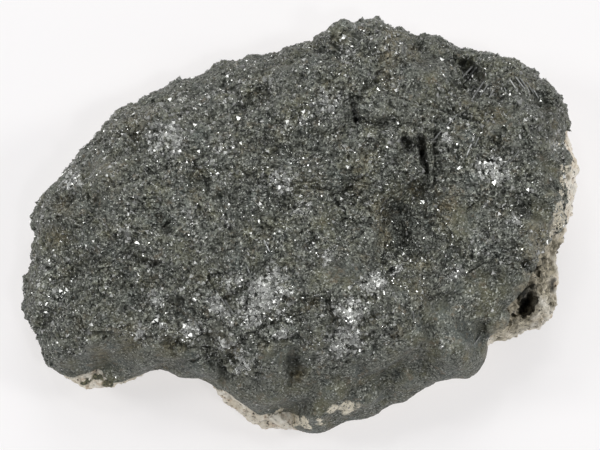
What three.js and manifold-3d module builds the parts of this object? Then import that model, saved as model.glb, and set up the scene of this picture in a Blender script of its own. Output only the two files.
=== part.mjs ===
// A hand specimen of braunite: a dark granular ore mass grown on pale host rock.
// Millimetres, +Z up. The specimen lies on its host rock with the ore face up.
// The two minerals are two solids that meet along a wavy contact, laid bare at the rock's edge.
import * as THREE from "three";
import { ImprovedNoise } from "three/addons/math/ImprovedNoise.js";
import { mergeVertices } from "three/addons/utils/BufferGeometryUtils.js";
import Module from "manifold-3d";

const { lerp, smoothstep, clamp, degToRad, seededRandom } = THREE.MathUtils;
const wasm = await Module();
wasm.setup();

// Driving dimensions

const LENGTH = 100; // of the outline, along X
const DEPTH = 74.4; // of the outline, along Y
const FACE_LEVEL = 27; // mean height of the ore face
const RINGS = 21; // rings of triangles in each half of the rock
const RING_CROWDING = 1.4; // above 1, the rings lie closer together near the edge
const EVENING_PASSES = 10; // rounds of opening out thin triangles
const FLANK_WAVER = { size: 6, amount: 5, from: 3 }; // gullies and buttresses of the flanks

// Shallow hollows of the underside; the threshold leaves flat ground between them
const BASE = { size: 13, relief: 6.4, threshold: 0.075, layer: 47 };

// The surface where the two minerals meet. It is level under the middle of the ore, and
// between two shares of the way out it climbs or sinks to its height in the flank.
const CONTACT = { middle: 12, from: 0.5, to: 0.92, gap: 0.3, rings: 10, reach: 1.25 };
const CONTACT_WAVES = { size: 5, amount: 1.6, layer: 9 };

// Roughness of the broken surface: how far it moves in and out, and over what distance.
// A ridged layer has sharp crests between its hollows.
const ROUGHNESS = [
  { size: 17, amount: 3.2, ridged: true },
  { size: 8, amount: 2, ridged: true },
  { size: 4, amount: 1.2, ridged: false },
  { size: 2.2, amount: 0.6, ridged: false },
];
const RIDGE_MEAN = 0.3; // mean of a ridged layer, taken off so that it doesn't shrink the rock
const EDGE_ROUGHNESS = 0.35; // share of the roughness kept at the outline, which has its own shape
const EDGE_WIDTH = 2.5;

// Plan outline, anticlockwise seen from above, starting at the left tip and running along the front
const OUTLINE = [
  [-49.9, -10.6], [-48.8, -13.5], [-49.7, -15.7], [-47.3, -18.2], [-46.4, -21.2], [-45.5, -24.8],
  [-43.4, -25.9], [-40.9, -27.9], [-37.6, -29.5], [-35.1, -29.3], [-32.2, -27.4], [-28.8, -27.5],
  [-26.8, -26.6], [-24.5, -25.7], [-21.4, -27.4], [-15.3, -28.6], [-12.8, -32.2], [-9.7, -35.3],
  [-7.0, -37.1], [-1.6, -36.4], [3.4, -36.7], [9.2, -35.1], [14.4, -34.0], [15.5, -32.6],
  [18.7, -31.7], [21.8, -29.0], [25.9, -27.7], [29.5, -27.9], [31.1, -26.8], [32.2, -24.1],
  [33.7, -21.2], [37.6, -20.3], [41.0, -18.7], [44.8, -17.1], [46.6, -12.8], [47.0, -9.7],
  [45.5, -6.3], [47.3, -2.2], [48.2, 1.6], [49.3, 4.7], [50.0, 8.8], [49.7, 13.3],
  [48.4, 15.7], [48.2, 19.1], [47.0, 22.9], [45.0, 25.7], [43.2, 26.1], [41.6, 27.7],
  [38.2, 29.7], [36.2, 29.5], [32.6, 30.6], [29.5, 31.2], [26.8, 32.8], [21.1, 33.4],
  [19.6, 34.9], [16.4, 36.2], [13.7, 37.1], [10.1, 36.1], [3.8, 34.3], [1.1, 32.7],
  [-2.3, 31.7], [-3.4, 30.4], [-7.7, 30.1], [-9.0, 31.3], [-11.7, 29.7], [-15.3, 29.3],
  [-17.8, 27.5], [-22.7, 26.1], [-23.9, 24.8], [-26.8, 23.9], [-28.6, 21.9], [-32.6, 20.4],
  [-35.0, 18.4], [-37.2, 15.4], [-40.1, 11.8], [-43.0, 7.6], [-44.8, 6.3], [-46.6, 4.0],
  [-47.7, 1.4], [-46.8, -2.3], [-47.5, -4.3], [-47.0, -6.3], [-48.4, -8.3],
];

// The flanks, by bearing in degrees from +X towards +Y:
//   slope     plan width over which the ore face falls to the widest line
//   round     1 where it rolls over like a quarter ellipse, 0 where it is a plane
//   edge      height of the widest line
//   undercut  plan width over which the underside rises to the widest line
//   contact   height at which pale rock gives way to ore
const FLANKS = [
  { bearing: 0, slope: 7, round: 0.15, edge: 11, undercut: 9, contact: 16.5 },
  { bearing: 8, slope: 7, round: 0.15, edge: 11, undercut: 9, contact: 21 },
  { bearing: 14, slope: 7, round: 0.15, edge: 11, undercut: 9, contact: 18 },
  { bearing: 18, slope: 7, round: 0.3, edge: 11, undercut: 9, contact: 11 },
  { bearing: 22, slope: 8, round: 0.6, edge: 12, undercut: 10, contact: 10 },
  { bearing: 38, slope: 12, round: 0.7, edge: 13, undercut: 12, contact: 9 },
  { bearing: 58, slope: 10, round: 0.8, edge: 11, undercut: 10, contact: 8 },
  { bearing: 80, slope: 8, round: 0.7, edge: 12, undercut: 12, contact: 9 },
  { bearing: 104, slope: 12, round: 0.6, edge: 10, undercut: 9, contact: 7 },
  { bearing: 128, slope: 14, round: 0.75, edge: 9, undercut: 8, contact: 6 },
  { bearing: 150, slope: 12, round: 0.75, edge: 11, undercut: 11, contact: 8 },
  { bearing: 172, slope: 10, round: 0.7, edge: 9, undercut: 8, contact: 6 },
  { bearing: 192, slope: 11, round: 0.7, edge: 8, undercut: 7, contact: 5 },
  { bearing: 208, slope: 9, round: 0.6, edge: 9, undercut: 8, contact: 7 },
  { bearing: 217, slope: 9, round: 0.4, edge: 8, undercut: 7, contact: 11 },
  { bearing: 227, slope: 8, round: 0.4, edge: 13, undercut: 15, contact: 8 },
  { bearing: 240, slope: 7, round: 0.5, edge: 14, undercut: 15, contact: 10 },
  { bearing: 249, slope: 8, round: 0.2, edge: 8, undercut: 8, contact: 15 },
  { bearing: 262, slope: 11, round: 0.15, edge: 6, undercut: 5, contact: 8.5 },
  { bearing: 275, slope: 13, round: 0.2, edge: 7, undercut: 6, contact: 5 },
  { bearing: 288, slope: 14, round: 0.2, edge: 8, undercut: 8, contact: 6 },
  { bearing: 305, slope: 11, round: 0.3, edge: 11, undercut: 11, contact: 8 },
  { bearing: 322, slope: 8, round: 0.5, edge: 13, undercut: 13, contact: 10 },
  { bearing: 331, slope: 6, round: 0.8, edge: 9, undercut: 8, contact: 17 },
  { bearing: 347, slope: 5, round: 0.8, edge: 8, undercut: 7, contact: 24 },
  { bearing: 354, slope: 6, round: 0.4, edge: 10, undercut: 8, contact: 19 },
];

// Broad swells and sags of the ore face
const SWELLS = [
  { at: [-22, 2.9], radius: 24, lift: 3.4 },
  { at: [5, -17.1], radius: 20, lift: 4.2 },
  { at: [12, 16.9], radius: 20, lift: 2.6 },
  { at: [34, 12.9], radius: 15, lift: 2.6 },
  { at: [20, -4.1], radius: 11, lift: -3.4 },
  { at: [-42, -15.1], radius: 20, lift: -5.5 },
  { at: [-8, 2.9], radius: 11, lift: -2.2 },
  { at: [31, -17.1], radius: 14, lift: -3.2 },
  { at: [-14, 24.9], radius: 14, lift: -3 },
];

// The low shelf at the right front corner, where the host rock reaches the top. It follows a line,
// and its rim climbs to the ore face.
const SHELF = { from: [45.5, -10.5], to: [41, -20], radius: 7, rim: 4, level: 16.5 };
const SHELF_WAVER = { size: 6, amount: 1.6 };

// Cracks, pits and ribs of the ore face: each follows a short line and has a half width
const MARKS = [
  { from: [22.3, 11.9], to: [22.9, 5.9], width: 1.7, lift: -4.5 }, // deep slot
  { from: [19.0, 11.8], to: [20.0, 9.5], width: 1.4, lift: -2.6 }, // its small neighbour
  { from: [20.8, 3.9], to: [21.6, 3.1], width: 2.2, lift: -3.2 }, // round pit
  { from: [17.6, 0.5], to: [18.6, -6.7], width: 3.0, lift: -2.2 }, // sunken patch
  { from: [30.2, 24.9], to: [33.2, 21.1], width: 2.2, lift: -3.4 }, // bladed hollow
  { from: [9.2, 18.9], to: [10.2, 15.3], width: 1.3, lift: -2.4 }, // upper crack
  { from: [12.2, 15.1], to: [15.4, 14.7], width: 1.3, lift: -1.8 }, // groove
  { from: [-31.0, 14.3], to: [-28.6, 10.9], width: 1.4, lift: -2.2 }, // slanting groove
  { from: [-25.2, -1.7], to: [-24.0, -4.5], width: 1.8, lift: -2.2 }, // pit
  { from: [-18.8, 6.3], to: [-17.0, 3.9], width: 1.8, lift: -2.0 }, // pit
  { from: [-10.6, 20.3], to: [-10.0, 17.5], width: 1.5, lift: -1.6 }, // dimple
  { from: [-2.0, -26.3], to: [-1.4, -29.7], width: 2.2, lift: -2.6 }, // hollow in the front slope
  { from: [-22.5, -25.9], to: [-18.5, -26.5], width: 2.6, lift: -2.2 }, // hollow over the notch
  { from: [22.4, -16.7], to: [25.6, -16.3], width: 1.5, lift: -1.6 }, // crack
  { from: [2.8, -16.7], to: [5.6, -18.5], width: 1.4, lift: -1.5 }, // crack
  { from: [22.0, -10.1], to: [28.4, -5.9], width: 1.6, lift: 1.8 }, // rib
  { from: [-9.0, 23.7], to: [4.0, 25.3], width: 2.6, lift: 1.4 }, // rib along the back
  { from: [-6.0, 7.7], to: [8.0, 6.3], width: 2.2, lift: 1.3 }, // rib
  { from: [-22.0, -11.5], to: [-11.0, -9.5], width: 2.2, lift: 1.3 }, // rib
  { from: [-6.8, -13.9], to: [-13.6, -20.2], width: 2.4, lift: 1.6 }, // crest of crystals
  { from: [8.4, -15.7], to: [9.8, -22.0], width: 2.4, lift: 1.6 }, // crest of crystals
];

// Small cliffs: the face drops to the right of each line and climbs back over its run
const LEDGES = [
  { from: [15.2, -8.6], to: [15.2, 2.5], drop: 2.4, run: 9 },
  { from: [24.4, 14.1], to: [24.0, 4.5], drop: -1.8, run: 7 },
  { from: [-36.4, -23.8], to: [-19.6, -24.5], drop: 1.6, run: 5 },
  { from: [-3.4, -29.3], to: [-14.6, -28.5], drop: -1.4, run: 5 },
  { from: [-38.0, 3.3], to: [-24.6, -2.1], drop: 1.3, run: 8 },
  { from: [-2.6, 2.1], to: [-3.6, 13.3], drop: -1.3, run: 8 },
  { from: [30.6, -15.5], to: [41.0, -7.7], drop: 1.4, run: 6 },
];

// Ore crystals big enough to see from a step away, thick where the face glitters
const CRYSTAL_PATCHES = [
  { at: [-24.5, 12.4], radius: 6.5, count: 7 },
  { at: [-7.0, -15.6], radius: 6.5, count: 9 },
  { at: [-13.0, -21.1], radius: 6.0, count: 7 },
  { at: [9.0, -19.1], radius: 6.0, count: 8 },
  { at: [34.0, 5.9], radius: 5.5, count: 6 },
  { at: [5.0, 18.9], radius: 7.0, count: 6 },
  { at: [-39.0, -16.1], radius: 7.0, count: 5 },
  { at: [33.0, 18.9], radius: 6.5, count: 5 },
  { at: [-40.0, 3.4], radius: 4.5, count: 4 },
  { at: [22.5, -10.6], radius: 6.0, count: 5 },
];
const CRYSTAL_RADIUS = { least: 0.9, most: 1.7 };
const CRYSTAL_SUNK = 0.25; // share of its radius that a crystal's middle lies under the face
const CRYSTAL_SEED = 7;

// Vugs in the host rock of the shelf: cavities with rough walls
const VUGS = [
  { at: [40.6, -15.2, 15.5], size: [1.8, 2.5, 5.0], turn: -25 },
  { at: [41.8, -9.0, 16.5], size: [1.7, 1.1, 4.2], turn: -15 },
];
const VUG_DETAIL = 3;

// Distance from a point to a line segment, and the side of it that the point is on
function nearSegment(x, y, from, to) {
  const start = new THREE.Vector2(...from);
  const line = new THREE.Vector2(...to).sub(start);
  const point = new THREE.Vector2(x, y).sub(start);
  const share = clamp(point.dot(line) / line.lengthSq(), 0, 1);
  return { distance: point.distanceTo(line.clone().multiplyScalar(share)), right: line.cross(point) < 0 };
}

// Outline and flanks as functions of bearing

const span = (axis) => Math.max(...OUTLINE.map((p) => p[axis])) - Math.min(...OUTLINE.map((p) => p[axis]));
const outline = OUTLINE.map(
  ([x, y]) => new THREE.Vector2((x * LENGTH) / span(0), (y * DEPTH) / span(1)),
);

const wholeTurn = 2 * Math.PI;
const positive = (angle) => ((angle % wholeTurn) + wholeTurn) % wholeTurn;

// Distance from the origin to the outline along a bearing
function edgeRadius(angle) {
  const ray = new THREE.Vector2(Math.cos(angle), Math.sin(angle));
  const start = outline.findIndex((point, i) => {
    const next = outline[(i + 1) % outline.length];
    return positive(angle - point.angle()) < positive(next.angle() - point.angle());
  });
  const a = outline[start];
  const along = outline[(start + 1) % outline.length].clone().sub(a);
  return a.cross(along) / ray.cross(along);
}

// Distance from a point inside the outline to the nearest stretch of it
function edgeDistance(x, y) {
  const distances = outline.map((point, i) => {
    const next = outline[(i + 1) % outline.length];
    return nearSegment(x, y, point, next).distance;
  });
  return Math.min(...distances);
}

// Every flank value at a bearing, eased between the two nearest entries
function flankAt(angle) {
  const bearing = (positive(angle) * 180) / Math.PI;
  const after = FLANKS.find((f) => f.bearing > bearing) ?? FLANKS[0];
  const before = FLANKS[(FLANKS.indexOf(after) + FLANKS.length - 1) % FLANKS.length];
  const gap = (after.bearing - before.bearing + 360) % 360;
  const share = smoothstep(((bearing - before.bearing + 360) % 360) / gap, 0, 1);
  return Object.fromEntries(Object.keys(before).map((key) => [key, lerp(before[key], after[key], share)]));
}

// Relief

const perlin = new ImprovedNoise();
const noiseAt = (x, y, z, size) => perlin.noise(x / size, y / size, z / size);

const bump = (distance, width) => (distance < width ? (1 - (distance / width) ** 2) ** 2 : 0);

// Height of the undisturbed ore face
function faceLevel(x, y) {
  let level = FACE_LEVEL;
  for (const { at, radius, lift } of SWELLS) {
    level += lift * bump(Math.hypot(x - at[0], y - at[1]), radius);
  }
  for (const { from, to, width, lift } of MARKS) {
    level += lift * bump(nearSegment(x, y, from, to).distance, width);
  }
  for (const { from, to, drop, run } of LEDGES) {
    const { distance, right } = nearSegment(x, y, from, to);
    if (right && distance < run) level -= drop * (1 - distance / run);
  }
  const waver = noiseAt(x, y, 0, SHELF_WAVER.size) * SHELF_WAVER.amount;
  const offShelf = nearSegment(x, y, SHELF.from, SHELF.to).distance + waver;
  return lerp(SHELF.level, level, smoothstep(offShelf, SHELF.radius - SHELF.rim, SHELF.radius));
}

// Height of the upper half, from the widest line up to the face
function upperHeight(x, y) {
  const flank = flankAt(Math.atan2(y, x));
  const inset = edgeDistance(x, y);
  const waver = noiseAt(x, y, 0, FLANK_WAVER.size) * FLANK_WAVER.amount;
  const climb = clamp((inset + waver * smoothstep(inset, 0, FLANK_WAVER.from)) / flank.slope, 0, 1);
  const rounded = Math.sqrt(1 - (1 - climb) ** 2);
  return lerp(flank.edge, faceLevel(x, y), lerp(climb, rounded, flank.round));
}

// Height of the lower half: undercut at the edge, then a flat base with shallow hollows
function lowerHeight(x, y) {
  const flank = flankAt(Math.atan2(y, x));
  const climb = clamp(edgeDistance(x, y) / flank.undercut, 0, 1);
  const hollow = Math.max(0, noiseAt(x, y, BASE.layer, BASE.size) - BASE.threshold) * BASE.relief;
  return flank.edge * (1 - Math.sqrt(1 - (1 - climb) ** 2)) + hollow * climb;
}

// Geometry

// A disc of triangles in rings: ring k has 6k points, so the triangles are all about one size.
// place(share, angle) gives the point at that share of the way out.
function discPoints(rings, place) {
  const points = [place(0, 0)];
  for (let k = 1; k <= rings; k++) {
    for (let j = 0; j < 6 * k; j++) points.push(place(k / rings, (j / (6 * k)) * wholeTurn));
  }
  return points;
}

function discTriangles(rings) {
  const first = (k) => (k === 0 ? 0 : 1 + 3 * k * (k - 1));
  const triangles = [];
  for (let k = 1; k <= rings; k++) {
    const inner = (i) => first(k - 1) + (k === 1 ? 0 : i % (6 * (k - 1)));
    const outer = (i) => first(k) + (i % (6 * k));
    for (let sector = 0; sector < 6; sector++) {
      for (let i = 0; i < k; i++) {
        const a = inner(sector * (k - 1) + i);
        triangles.push([a, outer(sector * k + i), outer(sector * k + i + 1)]);
        if (i < k - 1) triangles.push([a, outer(sector * k + i + 1), inner(sector * (k - 1) + i + 1)]);
      }
    }
  }
  return triangles;
}

// Plan points of a disc that reaches that many times as far as the outline
function planPoints(rings, reach, crowding) {
  return discPoints(rings, (share, angle) => {
    const radius = reach * edgeRadius(angle) * (1 - (1 - share) ** crowding);
    return new THREE.Vector2(radius * Math.cos(angle), radius * Math.sin(angle));
  });
}

// Draws each inner point towards the middle of its neighbours, which opens out thin triangles
function evenOut(plan, rings, passes) {
  const neighbours = plan.map(() => []);
  for (const [a, b, c] of discTriangles(rings)) {
    neighbours[a].push(b);
    neighbours[b].push(c);
    neighbours[c].push(a);
  }
  const inside = plan.length - 6 * rings;
  let points = plan;
  for (let pass = 0; pass < passes; pass++) {
    points = points.map((point, i) => {
      if (i >= inside) return point;
      const sum = neighbours[i].reduce((total, j) => total.add(points[j]), new THREE.Vector2());
      return sum.divideScalar(neighbours[i].length);
    });
  }
  return points;
}

// A closed surface of an upper and a lower sheet over the same plan, which share the lower's outer ring
function pillow(rings, plan, upper, lower) {
  const triangles = discTriangles(rings);
  const inside = plan.length - 6 * rings;
  const raised = (height) => (point) => new THREE.Vector3(point.x, point.y, height(point.x, point.y));
  const bottom = plan.map(raised(lower));
  const top = plan.slice(0, inside).map(raised(upper));
  const over = (i) => (i < inside ? bottom.length + i : i);
  const geometry = new THREE.BufferGeometry();
  geometry.setFromPoints([...bottom, ...top]);
  geometry.setIndex([...triangles.flat().map(over), ...triangles.flatMap(([a, b, c]) => [a, c, b])]);
  return geometry;
}

// Moves a surface in and out along its normals; where keep is 0 it stays put
function roughen(geometry, keep) {
  geometry.computeVertexNormals();
  const { position, normal } = geometry.attributes;
  const moved = position.clone();
  for (let i = 0; i < position.count; i++) {
    const p = new THREE.Vector3().fromBufferAttribute(position, i);
    const n = new THREE.Vector3().fromBufferAttribute(normal, i);
    const push = ROUGHNESS.reduce((sum, { size, amount, ridged }) => {
      const level = noiseAt(p.x, p.y, p.z, size);
      return sum + amount * (ridged ? RIDGE_MEAN - Math.abs(level) : level);
    }, 0);
    p.addScaledVector(n, push * keep(p));
    moved.setXYZ(i, p.x, p.y, Math.max(0, p.z));
  }
  geometry.setAttribute("position", moved);
  geometry.deleteAttribute("normal");
  return geometry;
}

function solid(geometry) {
  const shape = geometry.clone();
  for (const name of ["normal", "uv"]) shape.deleteAttribute(name);
  const merged = mergeVertices(shape, 1e-4);
  return new wasm.Manifold(
    new wasm.Mesh({
      numProp: 3,
      vertProperties: merged.attributes.position.array,
      triVerts: new Uint32Array(merged.index.array),
    }),
  );
}

function geometryOf(manifold) {
  const { vertProperties, triVerts } = manifold.getMesh();
  const geometry = new THREE.BufferGeometry();
  geometry.setAttribute("position", new THREE.BufferAttribute(vertProperties, 3));
  geometry.setIndex(new THREE.BufferAttribute(triVerts, 1));
  geometry.computeVertexNormals();
  return geometry;
}

const largestPiece = (manifold) => manifold.decompose().sort((a, b) => b.volume() - a.volume())[0];

// The rock

function rockGeometry() {
  const plan = evenOut(planPoints(RINGS, 1, RING_CROWDING), RINGS, EVENING_PASSES);
  const keep = (p) => {
    if (p.z < 1e-6) return 0;
    return lerp(EDGE_ROUGHNESS, 1, clamp(edgeDistance(p.x, p.y) / EDGE_WIDTH, 0, 1));
  };
  return roughen(pillow(RINGS, plan, upperHeight, lowerHeight), keep);
}

// The block above the contact: what lies inside it is ore
function oreBlock(lift) {
  const ceiling = () => 3 * FACE_LEVEL;
  const contact = (x, y) => {
    const angle = Math.atan2(y, x);
    const share = smoothstep(Math.hypot(x, y) / edgeRadius(angle), CONTACT.from, CONTACT.to);
    const wave = noiseAt(x, y, CONTACT_WAVES.layer, CONTACT_WAVES.size) * CONTACT_WAVES.amount;
    return lerp(CONTACT.middle, flankAt(angle).contact, share) + wave + lift;
  };
  return solid(pillow(CONTACT.rings, planPoints(CONTACT.rings, CONTACT.reach, 1), ceiling, contact));
}

function vug({ at, size, turn }) {
  const geometry = new THREE.IcosahedronGeometry(1, VUG_DETAIL);
  geometry.scale(...size).rotateZ(degToRad(turn)).translate(...at);
  return solid(geometry);
}

// Octahedral crystals, half sunk in the face at random places of their patch
function crystals(rock) {
  const caster = new THREE.Raycaster();
  const down = new THREE.Vector3(0, 0, -1);
  const grown = [];
  seededRandom(CRYSTAL_SEED);
  for (const { at, radius, count } of CRYSTAL_PATCHES) {
    for (let i = 0; i < count; i++) {
      const away = radius * Math.sqrt(seededRandom());
      const angle = wholeTurn * seededRandom();
      const size = lerp(CRYSTAL_RADIUS.least, CRYSTAL_RADIUS.most, seededRandom() ** 2);
      const x = at[0] + away * Math.cos(angle);
      const y = at[1] + away * Math.sin(angle);
      caster.set(new THREE.Vector3(x, y, 3 * FACE_LEVEL), down);
      const [hit] = caster.intersectObject(rock);
      const octahedron = new THREE.OctahedronGeometry(size);
      octahedron.rotateX(seededRandom() * wholeTurn).rotateY(seededRandom() * wholeTurn);
      octahedron.translate(hit.point.x, hit.point.y, hit.point.z - size * CRYSTAL_SUNK);
      grown.push(solid(octahedron));
    }
  }
  return grown;
}

const rockShape = rockGeometry();
const rock = solid(rockShape);
let ore = largestPiece(rock.intersect(oreBlock(CONTACT.gap / 2)));
let host = rock.subtract(oreBlock(-CONTACT.gap / 2));
for (const crystal of crystals(new THREE.Mesh(rockShape))) ore = ore.add(crystal);
for (const cavity of VUGS) host = host.subtract(vug(cavity));

// The specimen

function mineral(name, manifold, colour, roughness, metalness) {
  const material = new THREE.MeshStandardMaterial({ color: colour, roughness, metalness });
  const mesh = new THREE.Mesh(geometryOf(manifold), material);
  mesh.name = name;
  return mesh;
}

const specimen = new THREE.Group();
specimen.add(mineral("braunite", largestPiece(ore), 0x35373a, 0.45, 0.6));
specimen.add(mineral("matrix", largestPiece(host), 0xcfc4ae, 0.85, 0));

const box = new THREE.Box3().setFromObject(specimen);
const middle = box.getCenter(new THREE.Vector3());
for (const mesh of specimen.children) mesh.position.set(-middle.x, -middle.y, -box.min.z);

export default specimen;
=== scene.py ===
import math

import bmesh
import bpy
import numpy as np
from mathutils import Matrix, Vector, noise
from mathutils.bvhtree import BVHTree
from mathutils.kdtree import KDTree


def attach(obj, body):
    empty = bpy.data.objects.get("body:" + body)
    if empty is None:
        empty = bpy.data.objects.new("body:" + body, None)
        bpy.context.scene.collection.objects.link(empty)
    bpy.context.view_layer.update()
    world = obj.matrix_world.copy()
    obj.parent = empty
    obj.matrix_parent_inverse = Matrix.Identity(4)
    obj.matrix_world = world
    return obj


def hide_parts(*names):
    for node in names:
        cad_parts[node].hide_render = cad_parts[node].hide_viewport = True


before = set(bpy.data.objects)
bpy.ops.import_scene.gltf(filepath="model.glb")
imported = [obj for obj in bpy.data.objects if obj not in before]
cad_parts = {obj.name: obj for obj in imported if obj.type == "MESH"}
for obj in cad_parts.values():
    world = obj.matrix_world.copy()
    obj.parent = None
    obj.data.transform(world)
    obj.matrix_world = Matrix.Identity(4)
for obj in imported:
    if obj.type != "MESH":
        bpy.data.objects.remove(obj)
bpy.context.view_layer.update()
mm = 0.001  # places and sizes below are in millimetres
dice = np.random.default_rng(17)  # one seeded source for every random draw


# mesh and node helpers

# a mesh's points as an array in millimetres
def pointsOf(mesh):
    flat = np.empty(len(mesh.vertices) * 3, np.float32)
    mesh.vertices.foreach_get("co", flat)
    return flat.reshape(-1, 3).astype(float) / mm


def normalsOf(mesh):
    flat = np.empty(len(mesh.vertices) * 3, np.float32)
    mesh.vertex_normals.foreach_get("vector", flat)
    return flat.reshape(-1, 3).astype(float)


def movePoints(mesh, points):
    mesh.vertices.foreach_set("co", (points * mm).astype(np.float32).ravel())
    mesh.update()


def trianglesOf(mesh):
    mesh.calc_loop_triangles()
    flat = np.empty(len(mesh.loop_triangles) * 3, np.int32)
    mesh.loop_triangles.foreach_get("vertices", flat)
    return flat.reshape(-1, 3)


# how far each point lies from one of the frame's solids, up to a limit, and which way the solid faces there
def nearestOn(nodeName, points, limit=2.0):
    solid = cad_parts[nodeName].data
    tree = BVHTree.FromPolygons([v.co for v in solid.vertices], [f.vertices for f in solid.polygons])
    found = [tree.find_nearest(Vector(p) * mm, limit * mm) for p in points]
    distances = np.array([limit if hit[3] is None else hit[3] / mm for hit in found])
    facing = np.array([(0, 0, 0) if hit[1] is None else tuple(hit[1]) for hit in found])
    return distances, facing


def distanceTo(nodeName, points, limit=2.0):
    return nearestOn(nodeName, points, limit)[0]


# the distances to the other solid, and the points that face it from so near that they can't be seen
def hiddenPoints(points, normals, nodeName, within):
    gap, facing = nearestOn(nodeName, points)
    return gap, (gap < within) & ((normals * facing).sum(1) < -0.2)


def newPiece(name, mesh):
    piece = bpy.data.objects.new(name, mesh)
    bpy.context.scene.collection.objects.link(piece)
    return piece


# runs one modifier on a piece and keeps the result as its mesh
def reshape(piece, kind, **settings):
    modifier = piece.modifiers.new(kind, kind)
    for key, value in settings.items():
        setattr(modifier, key, value)
    bpy.context.view_layer.update()
    finished = piece.evaluated_get(bpy.context.evaluated_depsgraph_get())
    result = bpy.data.meshes.new_from_object(finished)
    piece.modifiers.clear()
    piece.data = result


# a closed, evenly meshed copy of one of the frame's solids, a little rounded
def remeshed(name, nodeName, shape):
    piece = newPiece(name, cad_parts[nodeName].data.copy())
    reshape(piece, "REMESH", mode="VOXEL", voxel_size=shape["voxel"] * mm, adaptivity=0)
    reshape(piece, "SMOOTH", factor=0.5, iterations=shape["softening"])
    return piece


# thins the hidden points of a piece first, then all of it down to its number of triangles
def thinOut(piece, hidden, triangles):
    spots = piece.vertex_groups.new(name="hidden")
    spots.add([int(i) for i in np.flatnonzero(hidden)], 1.0, "REPLACE")
    left = 1 - 0.9 * hidden.mean()
    reshape(piece, "DECIMATE", ratio=left, vertex_group="hidden", vertex_group_factor=10.0)
    reshape(piece, "DECIMATE", ratio=min(1, triangles / len(trianglesOf(piece.data))))


# deletes the crumbs that have been pinched off the main body of a piece
def dropCrumbs(piece):
    mesh = piece.data
    flat = np.empty(len(mesh.edges) * 2, np.int32)
    mesh.edges.foreach_get("vertices", flat)
    starts, ends = flat.reshape(-1, 2).T
    body, settled = np.arange(len(mesh.vertices)), False
    while not settled:
        lowest = body.copy()
        np.minimum.at(lowest, starts, body[ends])
        np.minimum.at(lowest, ends, body[starts])
        lowest = lowest[lowest]
        settled = (lowest == body).all()
        body = lowest
    crumbs = np.flatnonzero(body != np.bincount(body).argmax())
    editable = bmesh.new()
    editable.from_mesh(mesh)
    editable.verts.ensure_lookup_table()
    bmesh.ops.delete(editable, geom=[editable.verts[i] for i in crumbs], context="VERTS")
    editable.to_mesh(mesh)
    editable.free()
    print(piece.name, "lost", len(crumbs), "loose points")


# stores one number per point under a name the material can read
def paintPoints(mesh, name, values):
    layer = mesh.attributes.new(name, "FLOAT", "POINT")
    layer.data.foreach_set("value", np.clip(values, 0, 1).astype(np.float32))


# one number per point from a Blender noise, over the given distance
def noiseOver(points, size, shift=0.0):
    return np.array([noise.noise(Vector(p) / size + Vector((shift, shift, shift))) for p in points])


def ridgesOver(points, size, octaves=4, shift=0.0):
    offset = Vector((shift, shift, shift))
    return np.array([noise.ridged_multi_fractal(Vector(p) / size + offset, 0.9, 2.1, octaves, 1.0, 1.6)
                     for p in points])


# how far each point lies in a small hollow (above 0) or on a small crest (below 0)
def hollowness(piece, rounds):
    before, normals = pointsOf(piece.data), normalsOf(piece.data)
    copy = newPiece("smoothed_copy", piece.data.copy())
    reshape(copy, "SMOOTH", factor=0.5, iterations=rounds)
    depth = ((pointsOf(copy.data) - before) * normals).sum(1)
    bpy.data.objects.remove(copy)
    return depth


# 1 at the middle of a soft spot, 0 past its radius
def softSpot(distance, radius):
    share = np.clip(1 - distance / radius, 0, 1)
    return share * share * (3 - 2 * share)


# rounded swellings with creases between them, level on average
def billowsOver(points, size, shift):
    return np.abs(noiseOver(points, size, shift)) * 2 - 0.45


def distanceToLine(points, start, end):
    a = np.array(start, float)
    along = np.array(end, float) - a
    away = points[:, :2] - a
    share = np.clip(away @ along / (along @ along), 0, 1)
    return np.hypot(*(away - share[:, None] * along).T)


raggedEdge = {"size": 2.6, "reach": 1.1}  # how the edge of every soft spot wanders


# the strongest of several spots at every point, seen in plan
def spotsOver(points, spots):
    x = points[:, 0] + raggedEdge["reach"] * noiseOver(points, raggedEdge["size"], shift=40.0)
    y = points[:, 1] + raggedEdge["reach"] * noiseOver(points, raggedEdge["size"], shift=50.0)
    total = np.zeros(len(points))
    for middleX, middleY, radius, strength in spots:
        near = np.flatnonzero((abs(x - middleX) < radius) & (abs(y - middleY) < radius))
        away = np.hypot(x[near] - middleX, y[near] - middleY)
        total[near] = np.maximum(total[near], strength * softSpot(away, radius))
    return total


def addNode(tree, kind, inputs=None, **settings):
    node = tree.nodes.new("ShaderNode" + kind)
    for key, value in settings.items():
        setattr(node, key, value)
    for key, value in (inputs or {}).items():
        if isinstance(value, bpy.types.NodeSocket):
            tree.links.new(value, node.inputs[key])
        else:
            node.inputs[key].default_value = value
    return node


def blendColours(tree, share, first, second):
    mix = addNode(tree, "Mix", data_type="RGBA")
    for socket, value in ((mix.inputs[0], share), (mix.inputs[6], first), (mix.inputs[7], second)):
        if isinstance(value, bpy.types.NodeSocket):
            tree.links.new(value, socket)
        else:
            socket.default_value = (*value, 1) if isinstance(value, tuple) else value
    return mix.outputs[2]


# where a pattern's value lies between low and high, as a share from 0 to 1
def shareBetween(tree, value, low, high, start=0.0, end=1.0):
    return addNode(tree, "MapRange", {"Value": value, "From Min": low, "From Max": high,
                                      "To Min": start, "To Max": end}).outputs[0]


def calculate(tree, operation, first, second=0.0):
    return addNode(tree, "Math", {0: first, 1: second}, operation=operation).outputs[0]


def times(tree, first, second):
    return calculate(tree, "MULTIPLY", first, second)


def larger(tree, first, second):
    return calculate(tree, "MAXIMUM", first, second)


# reads back a number that was stored on the points
def painted(tree, name):
    return addNode(tree, "Attribute", attribute_name=name).outputs["Fac"]


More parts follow.
